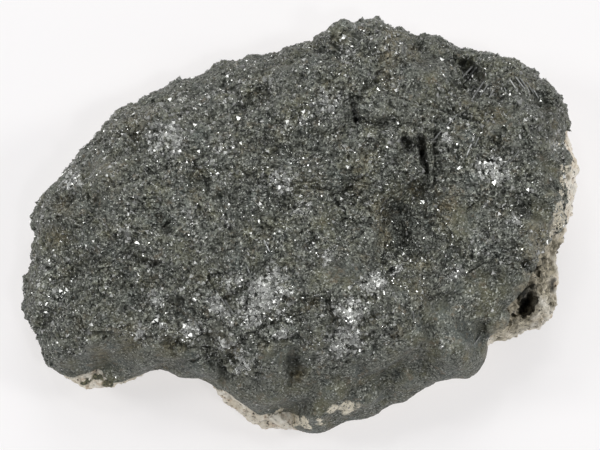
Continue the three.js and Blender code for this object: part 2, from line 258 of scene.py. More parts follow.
# a noise and a cell pattern, each over a distance in millimetres
def mottle(tree, place, size, detail=4, roughness=0.55):
    return addNode(tree, "TexNoise", {"Vector": place, "Scale": 1 / (size * mm), "Detail": detail,
                                      "Roughness": roughness}).outputs[0]


def cells(tree, place, size):
    return addNode(tree, "TexVoronoi", {"Vector": place, "Scale": 1 / (size * mm)}).outputs["Color"]


# the three numbers of a cell's random colour
def channels(tree, colour):
    return addNode(tree, "SeparateColor", {"Color": colour}).outputs


def newFinish(name):
    finish = bpy.data.materials.new(name)
    finish.use_nodes = True
    tree = finish.node_tree
    tree.nodes.clear()
    shader = addNode(tree, "BsdfPrincipled")
    addNode(tree, "OutputMaterial", {"Surface": shader.outputs[0]})
    place = addNode(tree, "TexCoord").outputs["Object"]
    return finish, tree, shader, place


print("helpers ready")


# where the face of the ore is glittery, smooth, shaded or stained: x, y, radius, strength

# these places are read off a level sheet above the face, looked at from a little south of overhead
sheet = {"height": 27.0, "lean": math.tan(math.radians(10)), "scale": 0.979, "shift": (-0.38, 0.61)}


# where each point seems to lie on that sheet
def asSeen(points):
    x = (points[:, 0] - sheet["shift"][0]) / sheet["scale"]
    slid = points[:, 1] + (points[:, 2] - sheet["height"]) * sheet["lean"]
    return np.stack([x, (slid - sheet["shift"][1]) / sheet["scale"], points[:, 2]], 1)


# the point of a surface that lies under a place on the sheet
def underSheet(tree, x, y):
    down = Vector((0, sheet["lean"], -1)).normalized()
    place = Vector((x, y, 0)) * sheet["scale"] + Vector((*sheet["shift"], sheet["height"]))
    hit = tree.ray_cast((place - down * 60) * mm, down)[0]
    return np.array(hit) / mm if hit else np.array(place)


oreZones = {
    "glitter": [
        (-23.6, 12.2, 5.2, 0.7), (-21.2, 20.2, 2.2, 0.7), (-14.0, 11.5, 4.0, 0.5),
        (-33.0, 13.0, 3.0, 0.4), (-41.0, 5.0, 3.0, 0.5), (-8.4, -18.8, 4.6, 1.0), (-5.5, -15.5, 5.2, 1.0),
        (-4.2, -12.6, 3.0, 1.0), (-11.5, -13.8, 2.6, 0.9), (-15.4, -18.0, 2.8, 0.9),
        (-13.0, -20.4, 2.8, 0.9), (-25.7, -17.0, 3.0, 0.9), (-29.0, -23.0, 3.0, 0.7),
        (-24.5, -22.0, 3.0, 0.7), (-19.0, -22.8, 3.4, 0.9), (-13.0, -25.0, 2.6, 0.7),
        (-3.0, -23.5, 2.0, 0.9), (-10.0, -29.0, 3.4, 0.7), (9.2, -18.6, 4.4, 1.0), (8.4, -24.5, 5.2, 0.9),
        (13.0, -14.5, 4.0, 0.8), (18.0, -11.0, 2.8, 0.8), (28.2, -12.4, 2.4, 1.0),
        (26.3, -25.2, 2.2, 0.8), (21.0, -26.0, 3.0, 0.5), (5.6, -9.5, 2.8, 0.8), (2.0, -7.5, 3.0, 0.5),
        (4.0, -28.5, 2.2, 0.6), (32.6, 7.0, 2.8, 0.9), (36.4, 6.0, 2.8, 1.0), (34.4, 9.0, 2.4, 0.6),
        (39.0, -2.5, 2.6, 0.7), (33.5, -7.0, 4.0, 0.4), (34.5, -18.5, 2.4, 0.6), (38.0, -10.0, 2.4, 0.5),
        (8.8, 28.3, 2.8, 0.8), (17.5, 29.0, 3.6, 0.4), (18.0, 22.5, 2.6, 0.4), (5.5, 18.5, 5.5, 0.5),
        (0.5, 15.7, 2.2, 0.9), (-2.7, 15.0, 2.0, 0.7), (26.8, 12.0, 2.0, 1.0), (16.5, 13.0, 2.4, 0.5),
        (20.7, 14.0, 2.2, 0.4), (46.3, 11.8, 1.8, 0.8), (42.5, 17.0, 3.0, 0.4), (44.0, 22.0, 3.0, 0.4),
        (33.5, 21.5, 2.6, 0.5), (-3.5, 4.5, 5.0, 0.5), (0.0, -1.0, 3.0, 0.6), (-12.3, 6.0, 2.0, 0.7),
        (-19.5, -2.5, 3.2, 0.6), (-18.5, -6.5, 2.6, 0.5), (-13.0, -2.5, 2.4, 0.4),
        (-31.5, -4.5, 3.0, 0.4), (-46.0, -11.0, 3.0, 0.6), (-44.0, -16.5, 4.2, 0.5),
        (-44.6, -22.2, 2.0, 0.7), (-39.0, -26.0, 2.0, 0.7), (-5.0, 22.5, 3.6, 0.4),
        (-11.0, 22.5, 2.6, 0.4), (-22.0, 4.5, 2.4, 0.4), (-30.0, 0.0, 2.6, 0.4), (12.5, 1.0, 2.2, 0.4),
    ],
    "smooth": [
        (-36.0, -26.0, 4.5, 0.9), (-32.0, -27.0, 5.5, 1.0), (-26.0, -27.5, 5.0, 1.0),
        (-20.0, -29.0, 5.0, 0.9), (-8.0, -34.0, 5.0, 1.0), (-1.0, -33.5, 6.0, 1.0),
        (6.0, -32.5, 6.0, 1.0), (12.0, -31.5, 6.0, 1.0), (18.0, -30.5, 5.0, 0.9), (25.0, -29.0, 5.5, 0.8),
        (30.0, -24.0, 5.0, 1.0), (25.0, -20.5, 5.0, 0.7), (32.5, -13.5, 4.5, 1.0),
        (30.5, -17.0, 4.0, 0.8), (6.0, -12.5, 4.0, 0.9), (2.5, -14.5, 3.0, 0.7), (29.0, -3.0, 5.0, 0.8),
        (29.0, 3.5, 4.0, 0.6), (24.0, 7.0, 4.0, 0.5), (43.5, -2.5, 4.0, 1.0), (44.5, 3.0, 3.6, 0.9),
        (44.0, 8.0, 3.6, 1.0), (23.5, 25.0, 5.5, 0.7), (15.0, 17.0, 3.4, 0.7), (-36.0, 8.0, 4.5, 0.7),
        (-35.0, 1.0, 4.5, 0.6), (-17.5, 24.5, 4.0, 0.6), (-25.0, 21.5, 4.0, 0.6), (36.0, 14.5, 4.5, 0.6),
        (6.5, 5.0, 4.5, 0.5), (14.0, -5.0, 4.5, 0.5), (20.0, -19.0, 4.0, 0.6), (-41.0, -1.5, 4.0, 0.5),
        (-24.0, 2.0, 3.4, 0.5), (21.0, 19.5, 3.4, 0.5), (-2.0, 25.5, 3.0, 0.4), (17.0, -15.5, 3.4, 0.6),
        (10.0, 12.0, 3.4, 0.4), (-33.0, -20.0, 3.5, 0.4), (8.0, 33.0, 4.0, 0.4), (18.0, 2.0, 7.0, 0.40),
        (28.0, 1.0, 7.0, 0.45), (24.0, 25.0, 7.0, 0.50), (37.0, 16.5, 6.0, 0.45), (14.0, -7.0, 5.0, 0.45),
        (22.0, -20.0, 6.0, 0.30), (44.0, 0.0, 4.5, 0.70), (11.0, 24.0, 6.0, 0.25), (45.8, 1.5, 3.0, 1.0),
        (45.6, 5.5, 3.0, 1.0), (46.4, 9.5, 2.4, 0.8), (45.0, -3.0, 3.0, 1.0), (28.0, -18.0, 5.5, 0.9),
        (34.0, -20.0, 4.5, 1.0), (27.0, -14.5, 3.5, 0.5), (5.0, -3.0, 4.5, 0.55), (10.0, -12.0, 3.0, 0.6),
        (-38.0, 3.0, 3.0, 0.5), (32.0, -2.0, 4.0, 0.6), (-12.0, 26.0, 4.0, 0.4), (6.6, -12.6, 5.4, 1.0),
        (6.0, -10.4, 3.6, 0.8), (-2.4, -26.4, 4.2, 1.0), (-5.6, -27.2, 3.0, 0.9),
    ],
    "frost": [
        (-6.0, -16.2, 5.2, 1.0), (-4.2, -12.8, 2.8, 0.9), (-8.6, -19.8, 3.0, 0.9),
        (-14.8, -18.2, 2.4, 0.8), (-11.4, -13.6, 2.0, 0.5), (9.0, -19.4, 3.2, 0.9),
        (8.2, -24.4, 3.8, 0.8), (13.6, -14.0, 2.6, 0.7), (17.8, -11.0, 1.8, 0.5),
        (-23.6, 12.0, 4.4, 0.55), (34.6, 6.4, 3.0, 0.55), (36.6, 5.4, 2.0, 0.7), (26.8, 12.0, 1.4, 0.7),
        (28.2, -12.4, 1.5, 0.9), (26.3, -25.2, 1.3, 0.6), (-25.7, -17.0, 1.8, 0.6),
        (-19.0, -22.8, 2.6, 0.6), (-29.0, -23.0, 1.8, 0.4), (-3.0, -23.5, 1.8, 0.6),
        (-10.0, -28.4, 2.8, 0.55), (5.6, -9.4, 1.8, 0.6), (-13.0, -24.8, 1.8, 0.5),
        (34.5, -18.5, 1.4, 0.4), (39.0, -2.6, 1.6, 0.4), (-3.5, 4.5, 3.4, 0.3), (5.5, 18.5, 3.0, 0.25),
        (-41.0, 5.0, 2.4, 0.3),
    ],
    "shade": [
        (32.2, 25.2, 2.8, 1.0), (30.0, 23.0, 2.2, 1.0), (24.5, 21.0, 1.8, 0.7), (22.6, 9.0, 2.0, 1.0),
        (26.5, 7.0, 4.0, 0.5), (29.0, 4.5, 3.0, 0.3), (17.0, -2.0, 3.6, 0.8), (20.0, -5.0, 3.6, 0.6),
        (22.5, -7.5, 3.0, 0.5), (10.0, 17.5, 2.4, 0.7), (15.5, 15.5, 3.0, 0.5), (19.1, 11.5, 1.4, 0.9),
        (-10.3, 19.0, 1.8, 0.5), (-29.8, 12.8, 1.8, 0.5), (-25.0, -3.8, 1.8, 0.5),
        (-41.0, -22.5, 1.8, 0.7), (-21.0, -28.2, 3.2, 0.8), (-0.6, -28.6, 3.0, 1.0),
        (-1.2, -31.6, 1.9, 1.0), (5.0, -25.0, 2.2, 0.4), (-45.0, -6.5, 2.6, 0.5), (43.5, 10.0, 4.0, 0.4),
        (35.0, 17.0, 3.5, 0.4), (42.0, 20.0, 2.6, 0.4), (2.0, 13.5, 3.5, 0.3), (-2.5, 1.5, 2.2, 0.4),
        (-17.0, 5.5, 2.4, 0.4), (-19.5, 16.5, 2.4, 0.4), (-30.5, -17.0, 2.6, 0.3), (38.0, 10.5, 2.4, 0.3),
        (12.0, 24.0, 2.0, 0.3), (-38.0, -17.0, 3.5, 0.3), (15.0, -17.5, 3.0, 0.3),
        (22.0, 18.0, 9.0, 0.30), (36.0, 18.0, 9.0, 0.34), (24.0, 4.0, 8.0, 0.20), (18.0, 27.0, 8.0, 0.25),
        (41.6, -10.6, 1.9, 1.0), (43.2, -11.4, 1.9, 1.0), (40.6, -16.8, 1.7, 1.0),
        (20.0, 11.0, 6.0, 0.20), (-20.0, 26.0, 7.0, 0.24), (-36.0, 14.0, 6.0, 0.22),
        (-5.0, 29.0, 9.0, 0.50), (28.0, -2.4, 6.0, 0.40), (45.0, 18.0, 9.0, 0.75),
        (22.0, 31.0, 8.0, 0.50), (-44.0, 6.0, 5.0, 0.22), (7.0, 17.0, 8.0, 0.24),
    ],
    "stain": [
        (17.0, 31.0, 3.4, 0.9), (21.0, 28.5, 2.8, 0.8), (16.0, 24.0, 2.8, 0.6), (8.0, 31.0, 2.6, 0.5),
        (30.0, 19.0, 2.0, 0.6), (28.5, 14.0, 2.2, 0.6), (39.4, 24.8, 2.0, 0.7), (42.2, 23.0, 2.0, 0.7),
        (34.0, 15.5, 2.6, 0.5), (46.6, 15.0, 1.8, 0.6), (12.0, 8.0, 3.0, 0.7), (10.8, 4.0, 2.6, 0.5),
        (14.6, 1.0, 2.0, 0.9), (15.0, -2.5, 2.0, 1.0), (15.4, -6.5, 2.0, 0.9), (21.3, 3.2, 2.0, 1.0),
        (26.2, 2.5, 2.4, 0.7), (26.4, -2.5, 2.4, 0.6), (22.0, -11.0, 2.6, 0.6), (21.8, -14.5, 2.4, 0.5),
        (11.2, -9.5, 2.0, 0.6), (17.8, -23.0, 1.8, 0.7), (13.6, -21.0, 1.6, 0.5), (2.3, -17.8, 1.8, 0.8),
        (-6.0, -25.5, 2.0, 0.6), (-11.5, -26.5, 1.8, 0.6), (-18.0, -13.0, 3.0, 0.4),
        (-23.0, -25.5, 4.5, 0.5), (-31.0, -23.0, 4.0, 0.4), (-39.0, -21.0, 3.0, 0.4),
        (-44.0, -5.5, 3.0, 0.7), (-42.5, 0.0, 3.6, 0.6), (-33.5, 4.0, 3.5, 0.3), (-33.0, 14.5, 3.0, 0.5),
        (-27.0, 17.0, 2.6, 0.5), (-17.8, 6.2, 1.8, 0.7), (-19.0, 1.8, 2.2, 0.6), (-9.5, 11.0, 2.2, 0.4),
        (-3.5, 13.0, 2.4, 0.4), (-5.5, -6.0, 2.4, 0.4), (43.5, -5.5, 3.0, 0.7), (41.5, -9.0, 2.6, 0.7),
        (-0.2, -31.0, 2.4, 0.9), (30.5, -27.5, 1.0, 1.0), (-36.0, -27.5, 3.0, 0.6), (3.0, 5.0, 4.0, 0.3),
        (16.4, 27.6, 3.6, 0.7), (14.8, -1.0, 2.4, 0.9), (15.2, -5.0, 2.4, 0.9), (26.6, 0.0, 3.0, 0.7),
        (21.6, -16.0, 3.4, 0.6), (42.6, -4.0, 3.0, 0.8), (46.4, 12.0, 2.0, 0.8), (34.6, 16.0, 4.0, 0.5),
        (-34.0, 6.4, 3.6, 0.5), (-30.0, 15.6, 4.0, 0.5), (-14.0, -24.0, 4.0, 0.4),
        (-30.0, -25.0, 5.0, 0.5),
    ],
    "pale": [
        (6.0, -37.0, 2.2, 0.8), (8.4, -37.4, 2.6, 0.9), (10.6, -36.8, 2.0, 0.6), (-37.0, -32.0, 2.6, 0.6),
        (46.6, 11.8, 1.2, 0.8), (48.6, 7.2, 1.8, 1.0), (48.0, 4.8, 1.8, 1.0), (47.6, 2.8, 1.5, 1.0),
        (47.4, 0.6, 2.1, 1.2), (47.2, -1.6, 2.3, 1.2), (46.8, -3.4, 2.0, 1.1), (46.0, -5.0, 1.4, 0.9),
        (-3.6, -39.0, 2.4, 1.2), (-1.2, -39.7, 2.4, 1.2), (1.2, -40.2, 1.8, 1.2), (3.8, -39.8, 1.0, 0.8),
    ],
    "lumpy": [
        (-36.0, -12.0, 9.0, 1.0), (-29.0, -18.0, 8.0, 0.9), (-41.0, -4.0, 6.0, 0.8),
        (-22.0, -14.0, 7.0, 0.8), (-43.0, -17.0, 6.0, 1.0), (-18.0, -21.0, 5.0, 0.7),
        (-31.0, -4.0, 6.0, 0.6), (-12.0, -17.0, 5.0, 0.6), (-27.0, 10.0, 6.0, 0.5),
        (31.0, 11.0, 6.0, 0.6), (40.0, 15.0, 6.0, 0.5), (34.0, 21.0, 5.0, 0.6), (16.0, 28.0, 6.0, 0.6),
        (-42.0, 4.0, 5.0, 0.5), (8.0, -21.0, 5.0, 0.5), (-8.0, 10.0, 6.0, 0.4),
    ],
    "crust": [
        (43.3, -7.7, 3.2, 0.8), (42.3, -11.8, 3.0, 0.9), (40.8, -15.5, 2.4, 0.9), (38.8, -20.0, 2.0, 0.8),
        (36.5, -22.8, 2.4, 1.0), (34.9, -25.7, 2.0, 0.9), (34.1, -28.1, 1.4, 0.5), (45.9, -3.6, 1.6, 0.6),
    ],
}

colouredZones = [zone for zone in oreZones if zone != "lumpy"]  # the lumpy zone only shapes the face

# south of this line the ore is worn smooth
smoothBand = [
    (-50.0, -34.0), (-42.0, -27.0), (-36.0, -23.4), (-25.0, -24.4), (-17.8, -26.4), (-11.5, -31.0),
    (-4.0, -29.6), (0.0, -28.4), (5.6, -29.2), (12.6, -27.0), (17.0, -24.8), (21.2, -20.8), (24.8, -15.6),
    (30.0, -13.0), (36.2, -11.0), (40.0, -12.0),
]


wornEdge = {
    "fade": 1.6,
    "wander": (2.4, 2.2),  # size, height
    "glitterKeeps": 0.8,  # how far glittery places stay rough there
    "dulls": 0.85,
}


def zoneStrength(surface, zone):
    points = asSeen(surface)
    strength = spotsOver(points, oreZones[zone])
    if zone in ("smooth", "glitter", "lumpy"):
        edge = np.interp(points[:, 0], *np.array(smoothBand).T)
        size, height = wornEdge["wander"]
        wander = height * noiseOver(points, size, shift=45.0)
        band = np.clip((edge - points[:, 1] + wander) / wornEdge["fade"], 0, 1)
        band = band * (1 - wornEdge["glitterKeeps"] * spotsOver(points, oreZones["glitter"]))
        if zone == "smooth":
            return np.maximum(np.clip((strength - 0.2) / 0.5, 0, 1), band)
        strength = strength * (1 - wornEdge["dulls"] * band)
    return strength


# cuts and rises of the ore face: start, end, half width, height change, sharpness of its walls
oreMarks = [
    ((21.9, 12.4), (22.3, 10.0), 0.8, -3.2, 2.2),  # deep slot
    ((22.3, 10.4), (22.9, 6.4), 0.6, -3.0, 2.2),
    ((22.8, 11.6), (24.6, 8.0), 1.6, -0.7, 1.2),
    ((41.2, -10.4), (43.4, -11.5), 1.1, -2.6, 2.5),
    ((40.2, -16.0), (40.8, -17.2), 1.0, -1.4, 2.0),
    ((19.1, 12.2), (19.9, 10.6), 0.9, -1.8, 2.0),
    ((21.0, 3.4), (21.7, 3.1), 1.6, -0.7, 4.0),  # round pit
    ((9.8, 18.6), (10.4, 15.8), 0.5, -1.2, 2.0),
    ((12.4, 15.4), (14.6, 15.2), 0.5, -0.7, 2.0),
    ((-31.0, 14.5), (-28.7, 11.2), 0.7, -0.5, 2.0),
    ((-25.4, -1.4), (-23.4, -4.8), 0.8, -0.5, 1.5),
    ((-18.6, 7.4), (-17.0, 6.6), 0.8, -0.5, 1.5),
    ((-16.4, 4.4), (-16.0, 2.6), 0.8, -0.6, 1.5),
    ((-1.0, -27.8), (-0.6, -29.8), 1.9, -2.4, 1.5),
    ((-1.4, -30.4), (-1.6, -33.0), 0.5, -0.9, 1.5),
    ((-14.7, -27.0), (-14.0, -29.8), 1.7, 1.9, 1.2),
    ((-1.6, -37.0), (0.8, -35.6), 1.9, 2.2, 1.2),
    ((32.5, -21.2), (33.0, -23.4), 1.5, 1.2, 1.2),
    ((22.5, -16.8), (25.4, -16.4), 0.6, -0.5, 2.0),
    ((21.8, -17.2), (21.9, -21.0), 0.5, -0.4, 2.0),
    ((0.6, -17.0), (4.6, -19.0), 0.7, -0.5, 1.5),
    ((-23.6, -25.0), (-19.0, -26.6), 1.6, -1.4, 1.5),
    ((22.0, -10.0), (28.0, -6.0), 1.1, 0.9, 1.2),  # pale rib
    ((-36.5, -25.8), (-36.3, -26.1), 0.9, -0.9, 1.5),
    ((2.4, -7.4), (7.0, -9.6), 1.8, -0.9, 1.5),
    ((30.6, 25.6), (32.6, 23.6), 1.9, -2.5, 1.5),  # bladed hollow
    ((28.8, 22.6), (31.8, 22.0), 1.1, -1.3, 2.0),
    ((-11.4, 21.0), (-10.2, 18.0), 0.8, -0.9, 1.5),
    ((33.0, 12.4), (35.0, 9.6), 0.7, -0.6, 1.5),
    ((-41.0, -20.0), (-38.6, -22.4), 0.8, -0.9, 1.5),
    ((-13.0, -17.0), (-9.2, -14.2), 0.8, -0.9, 1.5),
    ((-4.0, -24.0), (2.6, -25.0), 0.7, -0.8, 1.5),
    ((37.0, 2.8), (40.6, 2.0), 0.8, -0.9, 1.5),
    ((12.0, 22.0), (16.0, 23.6), 0.7, -0.8, 1.5),
    ((-30.6, -9.0), (-26.0, -10.4), 0.8, -0.9, 1.5),
]

# small steps: the face falls to the right of the line, then climbs back over the run
oreSteps = [
    ((15.0, -8.0), (14.8, 2.4), 1.5, 6.0),
    ((24.4, 13.0), (24.2, 4.6), -0.9, 5.0),
    ((-36.4, -22.8), (-19.6, -24.0), 0.4, 4.0),
    ((4.6, -18.0), (-6.0, -22.0), 0.9, 5.0),
    ((8.0, 2.6), (-8.0, 4.0), 0.7, 5.0),
    ((-14.0, 10.0), (-30.0, 4.6), 0.8, 5.0),
    ((36.4, -8.8), (23.0, -16.0), 0.5, 5.0),
    ((-22.0, -12.0), (-38.0, -10.0), 0.3, 5.0),
    ((30.0, 16.0), (18.0, 20.0), 0.9, 5.0),
]


# the ore

oreShape = {
    "voxel": 0.27,
    "softening": 26,
    "hiddenWithin": 0.50,  # turned to the host rock and this near to it, the surface can't be seen
    "fadeOver": 0.6,  # relief fades in over this distance from the host rock
    "levelSlope": 1.6,  # walls fade into the level face at 1 over this
    "triangles": 192000,
    "swell": (7.0, 0.45),
    "plump": 0.22,  # the outer walls grow by this much
    "lumps": (2.6, 0.36),  # rounded lumps with sharp creases between them
    "lumpyShare": 0.75,  # how much stronger they are where the face is lumpy
    "crags": (1.4, 0.22),
    "blocks": [(2.4, 0.15, 0.09), (1.0, 0.30, 0.07)],  # size, tilt, step
    "blockArea": 9000,  # square millimetres that the blocks are spread over
    "grain": (0.45, 0.10),
    "sand": (1.2, 0.06),  # only where it is smooth
    "ruggedShare": 0.62,  # relief of the plain face, against 1 where it glitters
    "ruggedDrift": (9.0, 0.25),
    "smoothShare": 0.05,  # and where it is smooth
    "wallShare": 1.15,  # relief that is left on the steep outer walls
}


# broken blocks: every point moves by the tilt and the step of the block it belongs to
def blockRelief(points, normals, size, tilt, step):
    count = int(oreShape["blockArea"] / size ** 2)
    middles = points[dice.choice(len(points), count, replace=False)]
    middles = middles + dice.normal(0, size * 0.2, middles.shape)
    tree = KDTree(len(middles))
    for i, middle in enumerate(middles):
        tree.insert(middle, i)
    tree.balance()
    nearest = np.array([tree.find(p)[1] for p in points])
    slopes = dice.normal(0, tilt, middles.shape)
    steps = dice.normal(0, step, len(middles))
    away = points - middles[nearest]
    away = away - normals * (away * normals).sum(1)[:, None]
    return (away * slopes[nearest]).sum(1) + steps[nearest]


def markRelief(surface):
    points = asSeen(surface)
    lift = np.zeros(len(points))
    wander = noiseOver(points, 1.8, shift=5.0) * 0.5
    for start, end, halfWidth, height, sharpness in oreMarks:
        away = distanceToLine(points, start, end) + wander * halfWidth
        share = np.clip(1 - away / halfWidth, 0, 1)
        lift += height * (1 - (1 - share) ** sharpness)
    for start, end, drop, run in oreSteps:
        away = distanceToLine(points, start, end)
        a, b = np.array(start), np.array(end)
        side = (b - a)[0] * (points[:, 1] - a[1]) - (b - a)[1] * (points[:, 0] - a[0])
        near = (side < wander) & (away < run)
        lift -= np.where(near, drop * (1 - away / run), 0)
    return lift


# how much of the relief the face shows: most where it glitters, least where it is worn smooth
def ruggedness(points, up, smooth):
    share = oreShape["ruggedShare"]
    rugged = share + (1 - share) * zoneStrength(points, "glitter")
    size, swing = oreShape["ruggedDrift"]
    rugged = rugged + swing * noiseOver(points, size, shift=60.0)
    rugged = rugged * (1 - smooth) + oreShape["smoothShare"] * smooth
    return rugged * (oreShape["wallShare"] + (1 - oreShape["wallShare"]) * up)


def oreRelief(points, normals, up):
    smooth = zoneStrength(points, "smooth")
    size, height = oreShape["lumps"]
    height = height * (1 + oreShape["lumpyShare"] * zoneStrength(points, "lumpy"))
    lift = billowsOver(points, size, 3.0) * height
    size, height = oreShape["crags"]
    lift += (ridgesOver(points, size, 3) - 1.0) * height
    for size, tilt, step in oreShape["blocks"]:
        lift += blockRelief(points, normals, size, tilt, step)
    lift *= ruggedness(points, up, smooth)
    size, height = oreShape["grain"]
    lift += noiseOver(points, size, shift=9.0) * height * 2 * (1 - 0.7 * smooth)
    size, height = oreShape["sand"]
    lift += noiseOver(points, size, shift=14.0) * height * 2 * smooth
    size, height = oreShape["swell"]
    lift += noiseOver(points, size, shift=12.0) * height * 2 + oreShape["plump"] * (1 - up)
    return lift


def makeOre():
    ore = remeshed("ore_mass", "braunite", oreShape)
    points, normals = pointsOf(ore.data), normalsOf(ore.data)
    print("ore: remeshed,", len(points), "points")

    gap, hidden = hiddenPoints(points, normals, "matrix", oreShape["hiddenWithin"])
    shown = np.flatnonzero(~hidden)
    face, out = points[shown], normals[shown]
    up = np.clip(out[:, 2] * oreShape["levelSlope"], 0, 1)
    shy = np.clip((gap[shown] - 0.1) / oreShape["fadeOver"], 0, 1)
    points[shown] += out * (oreRelief(face, out, up) * shy)[:, None]
    points[shown, 2] += markRelief(face) * up * shy
    movePoints(ore.data, points)
    print("ore: broken surface carved")

    thinOut(ore, hidden, oreShape["triangles"])
    dropCrumbs(ore)
    print("ore: thinned out to", len(trianglesOf(ore.data)), "triangles")
    return ore


ore = makeOre()


# finish of the ore

oreFinish = {
    "dark": (0.035, 0.037, 0.032),
    "grey": (0.287, 0.3005, 0.260),
    "olive": (0.198, 0.190, 0.112),
    "brown": (0.205, 0.160, 0.105),
    "slate": (0.150, 0.184, 0.188),
    "stain": (0.235, 0.198, 0.118),
    "silver": (0.92, 0.93, 0.87),
    "spark": (0.62, 0.63, 0.58),
    "pale": (0.78, 0.73, 0.61),
    "crust": (0.150, 0.140, 0.105),
    "crustPale": (0.40, 0.36, 0.27),
    "drifts": [  # colour, size, where its clouds start and end, how strong they are
        ("olive", 5.0, 0.48, 0.64, 0.55),
        ("slate", 4.0, 0.50, 0.64, 0.45),
        ("brown", 2.0, 0.55, 0.64, 0.60),
    ],
    "metallic": 0.7,
    "flakes": 0.52,
    "coarseGrain": 0.36,
    "fineGrain": 0.25,
    "hollowRounds": 14,  # rounds of smoothing that tell a hollow from the face round it
    "hollowDepth": 0.16,
    "hollowShade": 0.72,
    "smoothFlattens": 0.6,  # how much less hollows show where the face is smooth
    "shadeDepth": 0.80,
    "wallShade": 0.36,
    "crestLight": 0.32,
    "facetTilt": 1.2,
    "smoothTilt": 0.55,
}


# grains of every tone of grey, with drifts of olive, slate and brown and a few sparks
def oreGround(tree, place, zone, tone, speck):
    smooth = zone["smooth"]
    cloud = shareBetween(tree, mottle(tree, place, 1.4, 6, 0.7), 0.32, 0.68, 0.55, 1.0)
    grit = shareBetween(tree, tone[0], 0.15, 0.85, 0.03, 1.05)
    share = times(tree, times(tree, cloud, grit), shareBetween(tree, smooth, 0.0, 1.0, 1.0, 0.78))
    share = calculate(tree, "ADD", share, shareBetween(tree, smooth, 0.0, 1.0, 0.0, 0.03))
    colour = blendColours(tree, share, oreFinish["dark"], oreFinish["grey"])
    for name, size, low, high, most in oreFinish["drifts"]:
        drift = shareBetween(tree, mottle(tree, place, size, 6, 0.7), low, high, 0.0, most)
        colour = blendColours(tree, drift, colour, oreFinish[name])
    sparks = times(tree, shareBetween(tree, speck[1], 0.86, 0.92),
                   shareBetween(tree, smooth, 0.0, 0.8, 0.62, 0.42))
    return blendColours(tree, sparks, colour, oreFinish["spark"])


# silver flakes where it glitters and in the frosty patches, with dark gaps between them
def addSilver(tree, place, zone, colour, speck):
    chip = channels(tree, cells(tree, place, oreFinish["coarseGrain"]))
    flake = channels(tree, cells(tree, place, oreFinish["flakes"]))
    patches = shareBetween(tree, mottle(tree, place, 1.1, 6, 0.75), 0.3, 0.7, 0.0, 0.8)
    frosty = shareBetween(tree, calculate(tree, "ADD", zone["frost"], patches), 0.82, 1.10)
    facets = larger(tree, shareBetween(tree, flake[1], 0.50, 0.54),
                    shareBetween(tree, speck[1], 0.84, 0.88))
    shine = times(tree, zone["glitter"], shareBetween(tree, chip[1], 0.70, 0.80))
    shine = larger(tree, shine, times(tree, frosty, facets))
    colour = blendColours(tree, shine, colour, oreFinish["silver"])
    between = larger(tree, shareBetween(tree, flake[2], 0.34, 0.30),
                     shareBetween(tree, speck[2], 0.26, 0.20))
    gaps = larger(tree, times(tree, zone["glitter"], 0.85), frosty)
    gaps = larger(tree, gaps, shareBetween(tree, zone["smooth"], 0.0, 0.6, 0.28, 0.06))
    return blendColours(tree, times(tree, gaps, between), colour, oreFinish["dark"])


# painted shade in hollows, in the shade spots and on the steep walls, rusty stains, and painted light on
# the crests
def addShade(tree, place, zone, colour, speck):
    shade = larger(tree, times(tree, zone["shade"], oreFinish["shadeDepth"]),
                   times(tree, painted(tree, "hollow"), oreFinish["hollowShade"]))
    shade = larger(tree, shade, times(tree, painted(tree, "wall"), oreFinish["wallShade"]))
    colour = blendColours(tree, shade, colour, oreFinish["dark"])
    rust = shareBetween(tree, mottle(tree, place, 1.3, 5, 0.7), 0.34, 0.54, 0.0, 0.8)
    rust = times(tree, rust, shareBetween(tree, speck[0], 0.1, 0.4, 0.4, 1.0))
    colour = blendColours(tree, times(tree, zone["stain"], rust), colour, oreFinish["stain"])
    lit = times(tree, painted(tree, "crest"), oreFinish["crestLight"])
    return blendColours(tree, lit, colour, oreFinish["grey"])


# smears of pale rock and torn brown crust along the rim
def addCrust(tree, place, zone, colour, speck):
    smear = calculate(tree, "ADD", zone["pale"], mottle(tree, place, 0.7, 8, 0.9))
    smear = times(tree, shareBetween(tree, smear, 0.90, 1.04), shareBetween(tree, speck[2], 0.10, 0.22))
    pale = blendColours(tree, shareBetween(tree, mottle(tree, place, 0.9, 7, 0.85), 0.36, 0.56),
                        oreFinish["crustPale"], oreFinish["pale"])
    colour = blendColours(tree, smear, colour, pale)
    crumbs = shareBetween(tree, mottle(tree, place, 0.9, 6, 0.75), 0.42, 0.60)
    crust = blendColours(tree, crumbs, oreFinish["crust"], oreFinish["crustPale"])
    torn = times(tree, shareBetween(tree, mottle(tree, place, 1.6, 5, 0.7), 0.36, 0.50),
                 shareBetween(tree, zone["shade"], 0.15, 0.55, 1.0, 0.0))
    return blendColours(tree, times(tree, zone["crust"], torn), colour, crust)


# every grain leans its own way, so that each catches the light by itself
def leaningGrains(tree, place, zone, hue):
    normal = addNode(tree, "NewGeometry").outputs["Normal"]
    lean = addNode(tree, "VectorMath", {0: hue, 1: (0.5, 0.5, 0.5)}, operation="SUBTRACT")
    amount = shareBetween(tree, zone["smooth"], 0.0, 0.8, oreFinish["facetTilt"], oreFinish["smoothTilt"])
    lean = addNode(tree, "VectorMath", {0: lean.outputs[0], "Scale": amount}, operation="SCALE")
    lean = addNode(tree, "VectorMath", {0: normal, 1: lean.outputs[0]}, operation="ADD")
    lean = addNode(tree, "VectorMath", {0: lean.outputs[0]}, operation="NORMALIZE")
    crumb = addNode(tree, "Bump", {"Height": mottle(tree, place, 0.45, 5, 0.75), "Normal": lean.outputs[0],
                                   "Strength": 0.5, "Distance": 0.15 * mm})
    return crumb.outputs[0]


